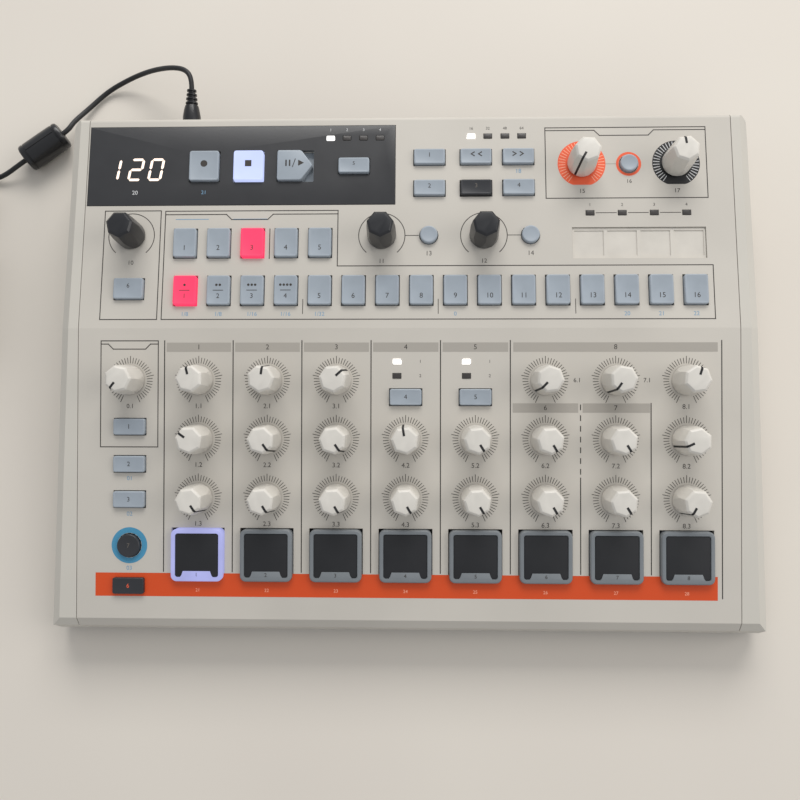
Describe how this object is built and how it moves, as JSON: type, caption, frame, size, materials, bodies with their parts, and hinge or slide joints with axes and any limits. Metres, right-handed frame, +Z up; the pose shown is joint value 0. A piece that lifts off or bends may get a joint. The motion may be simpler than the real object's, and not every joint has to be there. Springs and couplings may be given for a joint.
{
  "type": "drum machine",
  "caption": "Desktop analogue drum machine: two-slope panel with seven-sided knobs, pads, step buttons, display window, rear sockets and supply cord.",
  "frame": {"origin": "on the table, under the middle of the machine's outside box without its supply cord", "axes": "+X to the player's right, +Y to the rear (socket) side, +Z up"},
  "size_m": [0.4035, 0.2711, 0.0601],
  "materials": {
    "panel_paint": "satin",
    "cheek_plastic": "satin",
    "base_metal": "matt",
    "window_plastic": "satin",
    "board": "satin",
    "pot_metal": "satin",
    "socket_plastic": "matt",
    "lens": "clear",
    "strip": "matt",
    "foot_rubber": "matt",
    "screw": "dark",
    "cord": "satin",
    "cord_plastic": "satin",
    "white_knob": "satin",
    "black_knob": "satin",
    "pad_rubber": "matt",
    "cap": "satin",
    "rocker": "satin"
  },
  "bodies": {
    "case": {"top_panel": "panel_paint", "left_cheek": "cheek_plastic", "right_cheek": "cheek_plastic", "base_tray": "base_metal", "display_window": "window_plastic", "circuit_boards": "board", "control_pots": "pot_metal", "rear_sockets": "socket_plastic", "lamp_lenses": "lens", "touch_strip": "strip", "rubber_feet": "foot_rubber", "case_screws": "screw", "dc_plug": "cord_plastic", "dc_lead": "cord", "ferrite_bead": "cord_plastic", "lead_coil": "cord", "wall_adapter": "cord_plastic"},
    "metronome_knob_body": {"metronome_knob": "white_knob"},
    "kick_top_knob_body": {"kick_top_knob": "white_knob"},
    "kick_middle_knob_body": {"kick_middle_knob": "white_knob"},
    "kick_bottom_knob_body": {"kick_bottom_knob": "white_knob"},
    "snare_one_top_knob_body": {"snare_one_top_knob": "white_knob"},
    "snare_one_middle_knob_body": {"snare_one_middle_knob": "white_knob"},
    "snare_one_bottom_knob_body": {"snare_one_bottom_knob": "white_knob"},
    "snare_two_top_knob_body": {"snare_two_top_knob": "white_knob"},
    "snare_two_middle_knob_body": {"snare_two_middle_knob": "white_knob"},
    "snare_two_bottom_knob_body": {"snare_two_bottom_knob": "white_knob"},
    "tom_middle_knob_body": {"tom_middle_knob": "white_knob"},
    "tom_bottom_knob_body": {"tom_bottom_knob": "white_knob"},
    "cymbal_middle_knob_body": {"cymbal_middle_knob": "white_knob"},
    "cymbal_bottom_knob_body": {"cymbal_bottom_knob": "white_knob"},
    "closed_hat_top_knob_body": {"closed_hat_top_knob": "white_knob"},
    "closed_hat_middle_knob_body": {"closed_hat_middle_knob": "white_knob"},
    "closed_hat_bottom_knob_body": {"closed_hat_bottom_knob": "white_knob"},
    "open_hat_top_knob_body": {"open_hat_top_knob": "white_knob"},
    "open_hat_middle_knob_body": {"open_hat_middle_knob": "white_knob"},
    "open_hat_bottom_knob_body": {"open_hat_bottom_knob": "white_knob"},
    "fm_drum_top_knob_body": {"fm_drum_top_knob": "white_knob"},
    "fm_drum_middle_knob_body": {"fm_drum_middle_knob": "white_knob"},
    "fm_drum_bottom_knob_body": {"fm_drum_bottom_knob": "white_knob"},
    "distortion_knob_body": {"distortion_knob": "white_knob"},
    "master_knob_body": {"master_knob": "white_knob"},
    "rate_encoder_knob_body": {"rate_encoder_knob": "black_knob"},
    "swing_encoder_knob_body": {"swing_encoder_knob": "black_knob"},
    "random_encoder_knob_body": {"random_encoder_knob": "black_knob"},
    "kick_pad_body": {"kick_pad": "pad_rubber"},
    "snare_one_pad_body": {"snare_one_pad": "pad_rubber"},
    "snare_two_pad_body": {"snare_two_pad": "pad_rubber"},
    "tom_pad_body": {"tom_pad": "pad_rubber"},
    "cymbal_pad_body": {"cymbal_pad": "pad_rubber"},
    "closed_hat_pad_body": {"closed_hat_pad": "pad_rubber"},
    "open_hat_pad_body": {"open_hat_pad": "pad_rubber"},
    "fm_drum_pad_body": {"fm_drum_pad": "pad_rubber"},
    "step_buttons_body": {"step_buttons": "cap"},
    "mode_buttons_body": {"mode_buttons": "cap"},
    "transport_buttons_body": {"transport_buttons": "cap"},
    "utility_buttons_body": {"utility_buttons": "cap"},
    "round_buttons_body": {"round_buttons": "cap"},
    "lower_buttons_body": {"lower_buttons": "cap"},
    "power_rocker_body": {"power_rocker": "rocker"}
  },
  "joints": [
    {"name": "metronome_turn", "type": "hinge", "parent": "case", "child": "metronome_knob_body", "pos_m": [-0.12, -0.00941, 0.03936], "axis": [0, -0.1392, 0.9903], "range_deg": [-292, 8]},
    {"name": "kick_top_turn", "type": "hinge", "parent": "case", "child": "kick_top_knob_body", "pos_m": [-0.09, -0.00941, 0.03936], "axis": [0, -0.1392, 0.9903], "range_deg": [-163, 137]},
    {"name": "kick_middle_turn", "type": "hinge", "parent": "case", "child": "kick_middle_knob_body", "pos_m": [-0.09, -0.03466, 0.03581], "axis": [0, -0.1392, 0.9903], "range_deg": [-205, 95]},
    {"name": "kick_bottom_turn", "type": "hinge", "parent": "case", "child": "kick_bottom_knob_body", "pos_m": [-0.09, -0.05992, 0.03226], "axis": [0, -0.1392, 0.9903], "range_deg": [-4, 296]},
    {"name": "snare_one_top_turn", "type": "hinge", "parent": "case", "child": "snare_one_top_knob_body", "pos_m": [-0.06, -0.00941, 0.03936], "axis": [0, -0.1392, 0.9903], "range_deg": [-142, 158]},
    {"name": "snare_one_middle_turn", "type": "hinge", "parent": "case", "child": "snare_one_middle_knob_body", "pos_m": [-0.06, -0.03466, 0.03581], "axis": [0, -0.1392, 0.9903], "range_deg": [-5, 295]},
    {"name": "snare_one_bottom_turn", "type": "hinge", "parent": "case", "child": "snare_one_bottom_knob_body", "pos_m": [-0.06, -0.05992, 0.03226], "axis": [0, -0.1392, 0.9903], "range_deg": [-2, 298]},
    {"name": "snare_two_top_turn", "type": "hinge", "parent": "case", "child": "snare_two_top_knob_body", "pos_m": [-0.03, -0.00941, 0.03936], "axis": [0, -0.1392, 0.9903], "range_deg": [-103, 197]},
    {"name": "snare_two_middle_turn", "type": "hinge", "parent": "case", "child": "snare_two_middle_knob_body", "pos_m": [-0.03, -0.03466, 0.03581], "axis": [0, -0.1392, 0.9903], "range_deg": [-4, 296]},
    {"name": "snare_two_bottom_turn", "type": "hinge", "parent": "case", "child": "snare_two_bottom_knob_body", "pos_m": [-0.03, -0.05992, 0.03226], "axis": [0, -0.1392, 0.9903], "range_deg": [0, 300]},
    {"name": "tom_middle_turn", "type": "hinge", "parent": "case", "child": "tom_middle_knob_body", "pos_m": [0, -0.03466, 0.03581], "axis": [0, -0.1392, 0.9903], "range_deg": [-159, 141]},
    {"name": "tom_bottom_turn", "type": "hinge", "parent": "case", "child": "tom_bottom_knob_body", "pos_m": [0, -0.05992, 0.03226], "axis": [0, -0.1392, 0.9903], "range_deg": [0, 300]},
    {"name": "cymbal_middle_turn", "type": "hinge", "parent": "case", "child": "cymbal_middle_knob_body", "pos_m": [0.03, -0.03466, 0.03581], "axis": [0, -0.1392, 0.9903], "range_deg": [-2, 298]},
    {"name": "cymbal_bottom_turn", "type": "hinge", "parent": "case", "child": "cymbal_bottom_knob_body", "pos_m": [0.03, -0.05992, 0.03226], "axis": [0, -0.1392, 0.9903], "range_deg": [0, 300]},
    {"name": "closed_hat_top_turn", "type": "hinge", "parent": "case", "child": "closed_hat_top_knob_body", "pos_m": [0.06, -0.00941, 0.03936], "axis": [0, -0.1392, 0.9903], "range_deg": [-286, 14]},
    {"name": "closed_hat_middle_turn", "type": "hinge", "parent": "case", "child": "closed_hat_middle_knob_body", "pos_m": [0.06, -0.03466, 0.03581], "axis": [0, -0.1392, 0.9903], "range_deg": [0, 300]},
    {"name": "closed_hat_bottom_turn", "type": "hinge", "parent": "case", "child": "closed_hat_bottom_knob_body", "pos_m": [0.06, -0.05992, 0.03226], "axis": [0, -0.1392, 0.9903], "range_deg": [0, 300]},
    {"name": "open_hat_top_turn", "type": "hinge", "parent": "case", "child": "open_hat_top_knob_body", "pos_m": [0.09, -0.00941, 0.03936], "axis": [0, -0.1392, 0.9903], "range_deg": [-295, 5]},
    {"name": "open_hat_middle_turn", "type": "hinge", "parent": "case", "child": "open_hat_middle_knob_body", "pos_m": [0.09, -0.03466, 0.03581], "axis": [0, -0.1392, 0.9903], "range_deg": [-2, 298]},
    {"name": "open_hat_bottom_turn", "type": "hinge", "parent": "case", "child": "open_hat_bottom_knob_body", "pos_m": [0.09, -0.05992, 0.03226], "axis": [0, -0.1392, 0.9903], "range_deg": [-2, 298]},
    {"name": "fm_drum_top_turn", "type": "hinge", "parent": "case", "child": "fm_drum_top_knob_body", "pos_m": [0.12, -0.00941, 0.03936], "axis": [0, -0.1392, 0.9903], "range_deg": [-132, 168]},
    {"name": "fm_drum_middle_turn", "type": "hinge", "parent": "case", "child": "fm_drum_middle_knob_body", "pos_m": [0.12, -0.03466, 0.03581], "axis": [0, -0.1392, 0.9903], "range_deg": [-265, 35]},
    {"name": "fm_drum_bottom_turn", "type": "hinge", "parent": "case", "child": "fm_drum_bottom_knob_body", "pos_m": [0.12, -0.05992, 0.03226], "axis": [0, -0.1392, 0.9903], "range_deg": [-300, 0]},
    {"name": "distortion_turn", "type": "hinge", "parent": "case", "child": "distortion_knob_body", "pos_m": [0.0772, 0.08675, 0.04405], "axis": [0, -0.0209, 0.9998], "range_deg": [-300, 0]},
    {"name": "master_turn", "type": "hinge", "parent": "case", "child": "master_knob_body", "pos_m": [0.1185, 0.08675, 0.04405], "axis": [0, -0.0209, 0.9998], "range_deg": [-157, 143]},
    {"name": "rate_encoder_turn", "type": "hinge", "parent": "case", "child": "rate_encoder_knob_body", "pos_m": [-0.1216, 0.05466, 0.04337], "axis": [0, -0.0209, 0.9998], "continuous": true},
    {"name": "swing_encoder_turn", "type": "hinge", "parent": "case", "child": "swing_encoder_knob_body", "pos_m": [-0.0107, 0.05436, 0.04337], "axis": [0, -0.0209, 0.9998], "continuous": true},
    {"name": "random_encoder_turn", "type": "hinge", "parent": "case", "child": "random_encoder_knob_body", "pos_m": [0.034, 0.05436, 0.04337], "axis": [0, -0.0209, 0.9998], "continuous": true},
    {"name": "kick_pad_press", "type": "slide", "parent": "case", "child": "kick_pad_body", "axis": [0, 0.1392, -0.9903], "range_m": [0, 0.001], "stiffness_N_per_m": 2500, "springref_m": -0.0005},
    {"name": "snare_one_pad_press", "type": "slide", "parent": "case", "child": "snare_one_pad_body", "axis": [0, 0.1392, -0.9903], "range_m": [0, 0.001], "stiffness_N_per_m": 2500, "springref_m": -0.0005},
    {"name": "snare_two_pad_press", "type": "slide", "parent": "case", "child": "snare_two_pad_body", "axis": [0, 0.1392, -0.9903], "range_m": [0, 0.001], "stiffness_N_per_m": 2500, "springref_m": -0.0005},
    {"name": "tom_pad_press", "type": "slide", "parent": "case", "child": "tom_pad_body", "axis": [0, 0.1392, -0.9903], "range_m": [0, 0.001], "stiffness_N_per_m": 2500, "springref_m": -0.0005},
    {"name": "cymbal_pad_press", "type": "slide", "parent": "case", "child": "cymbal_pad_body", "axis": [0, 0.1392, -0.9903], "range_m": [0, 0.001], "stiffness_N_per_m": 2500, "springref_m": -0.0005},
    {"name": "closed_hat_pad_press", "type": "slide", "parent": "case", "child": "closed_hat_pad_body", "axis": [0, 0.1392, -0.9903], "range_m": [0, 0.001], "stiffness_N_per_m": 2500, "springref_m": -0.0005},
    {"name": "open_hat_pad_press", "type": "slide", "parent": "case", "child": "open_hat_pad_body", "axis": [0, 0.1392, -0.9903], "range_m": [0, 0.001], "stiffness_N_per_m": 2500, "springref_m": -0.0005},
    {"name": "fm_drum_pad_press", "type": "slide", "parent": "case", "child": "fm_drum_pad_body", "axis": [0, 0.1392, -0.9903], "range_m": [0, 0.001], "stiffness_N_per_m": 2500, "springref_m": -0.0005},
    {"name": "step_buttons_press", "type": "slide", "parent": "case", "child": "step_buttons_body", "axis": [0, 0.0209, -0.9998], "range_m": [0, 0.0008], "stiffness_N_per_m": 2500, "springref_m": -0.0004},
    {"name": "mode_buttons_press", "type": "slide", "parent": "case", "child": "mode_buttons_body", "axis": [0, 0.0209, -0.9998], "range_m": [0, 0.0008], "stiffness_N_per_m": 2500, "springref_m": -0.0004},
    {"name": "transport_buttons_press", "type": "slide", "parent": "case", "child": "transport_buttons_body", "axis": [0, 0.0209, -0.9998], "range_m": [0, 0.0008], "stiffness_N_per_m": 2500, "springref_m": -0.0004},
    {"name": "utility_buttons_press", "type": "slide", "parent": "case", "child": "utility_buttons_body", "axis": [0, 0.0209, -0.9998], "range_m": [0, 0.0008], "stiffness_N_per_m": 2500, "springref_m": -0.0004},
    {"name": "round_buttons_press", "type": "slide", "parent": "case", "child": "round_buttons_body", "axis": [0, 0.0209, -0.9998], "range_m": [0, 0.0008], "stiffness_N_per_m": 2500, "springref_m": -0.0004},
    {"name": "lower_buttons_press", "type": "slide", "parent": "case", "child": "lower_buttons_body", "axis": [0, 0.1392, -0.9903], "range_m": [0, 0.0008], "stiffness_N_per_m": 2500, "springref_m": -0.0004},
    {"name": "power_rocker_tilt", "type": "hinge", "parent": "case", "child": "power_rocker_body", "pos_m": [-0.128, 0.11224, 0.01924], "axis": [0, 0.1736, -0.9848], "range_deg": [-12, 0]}
  ]
}
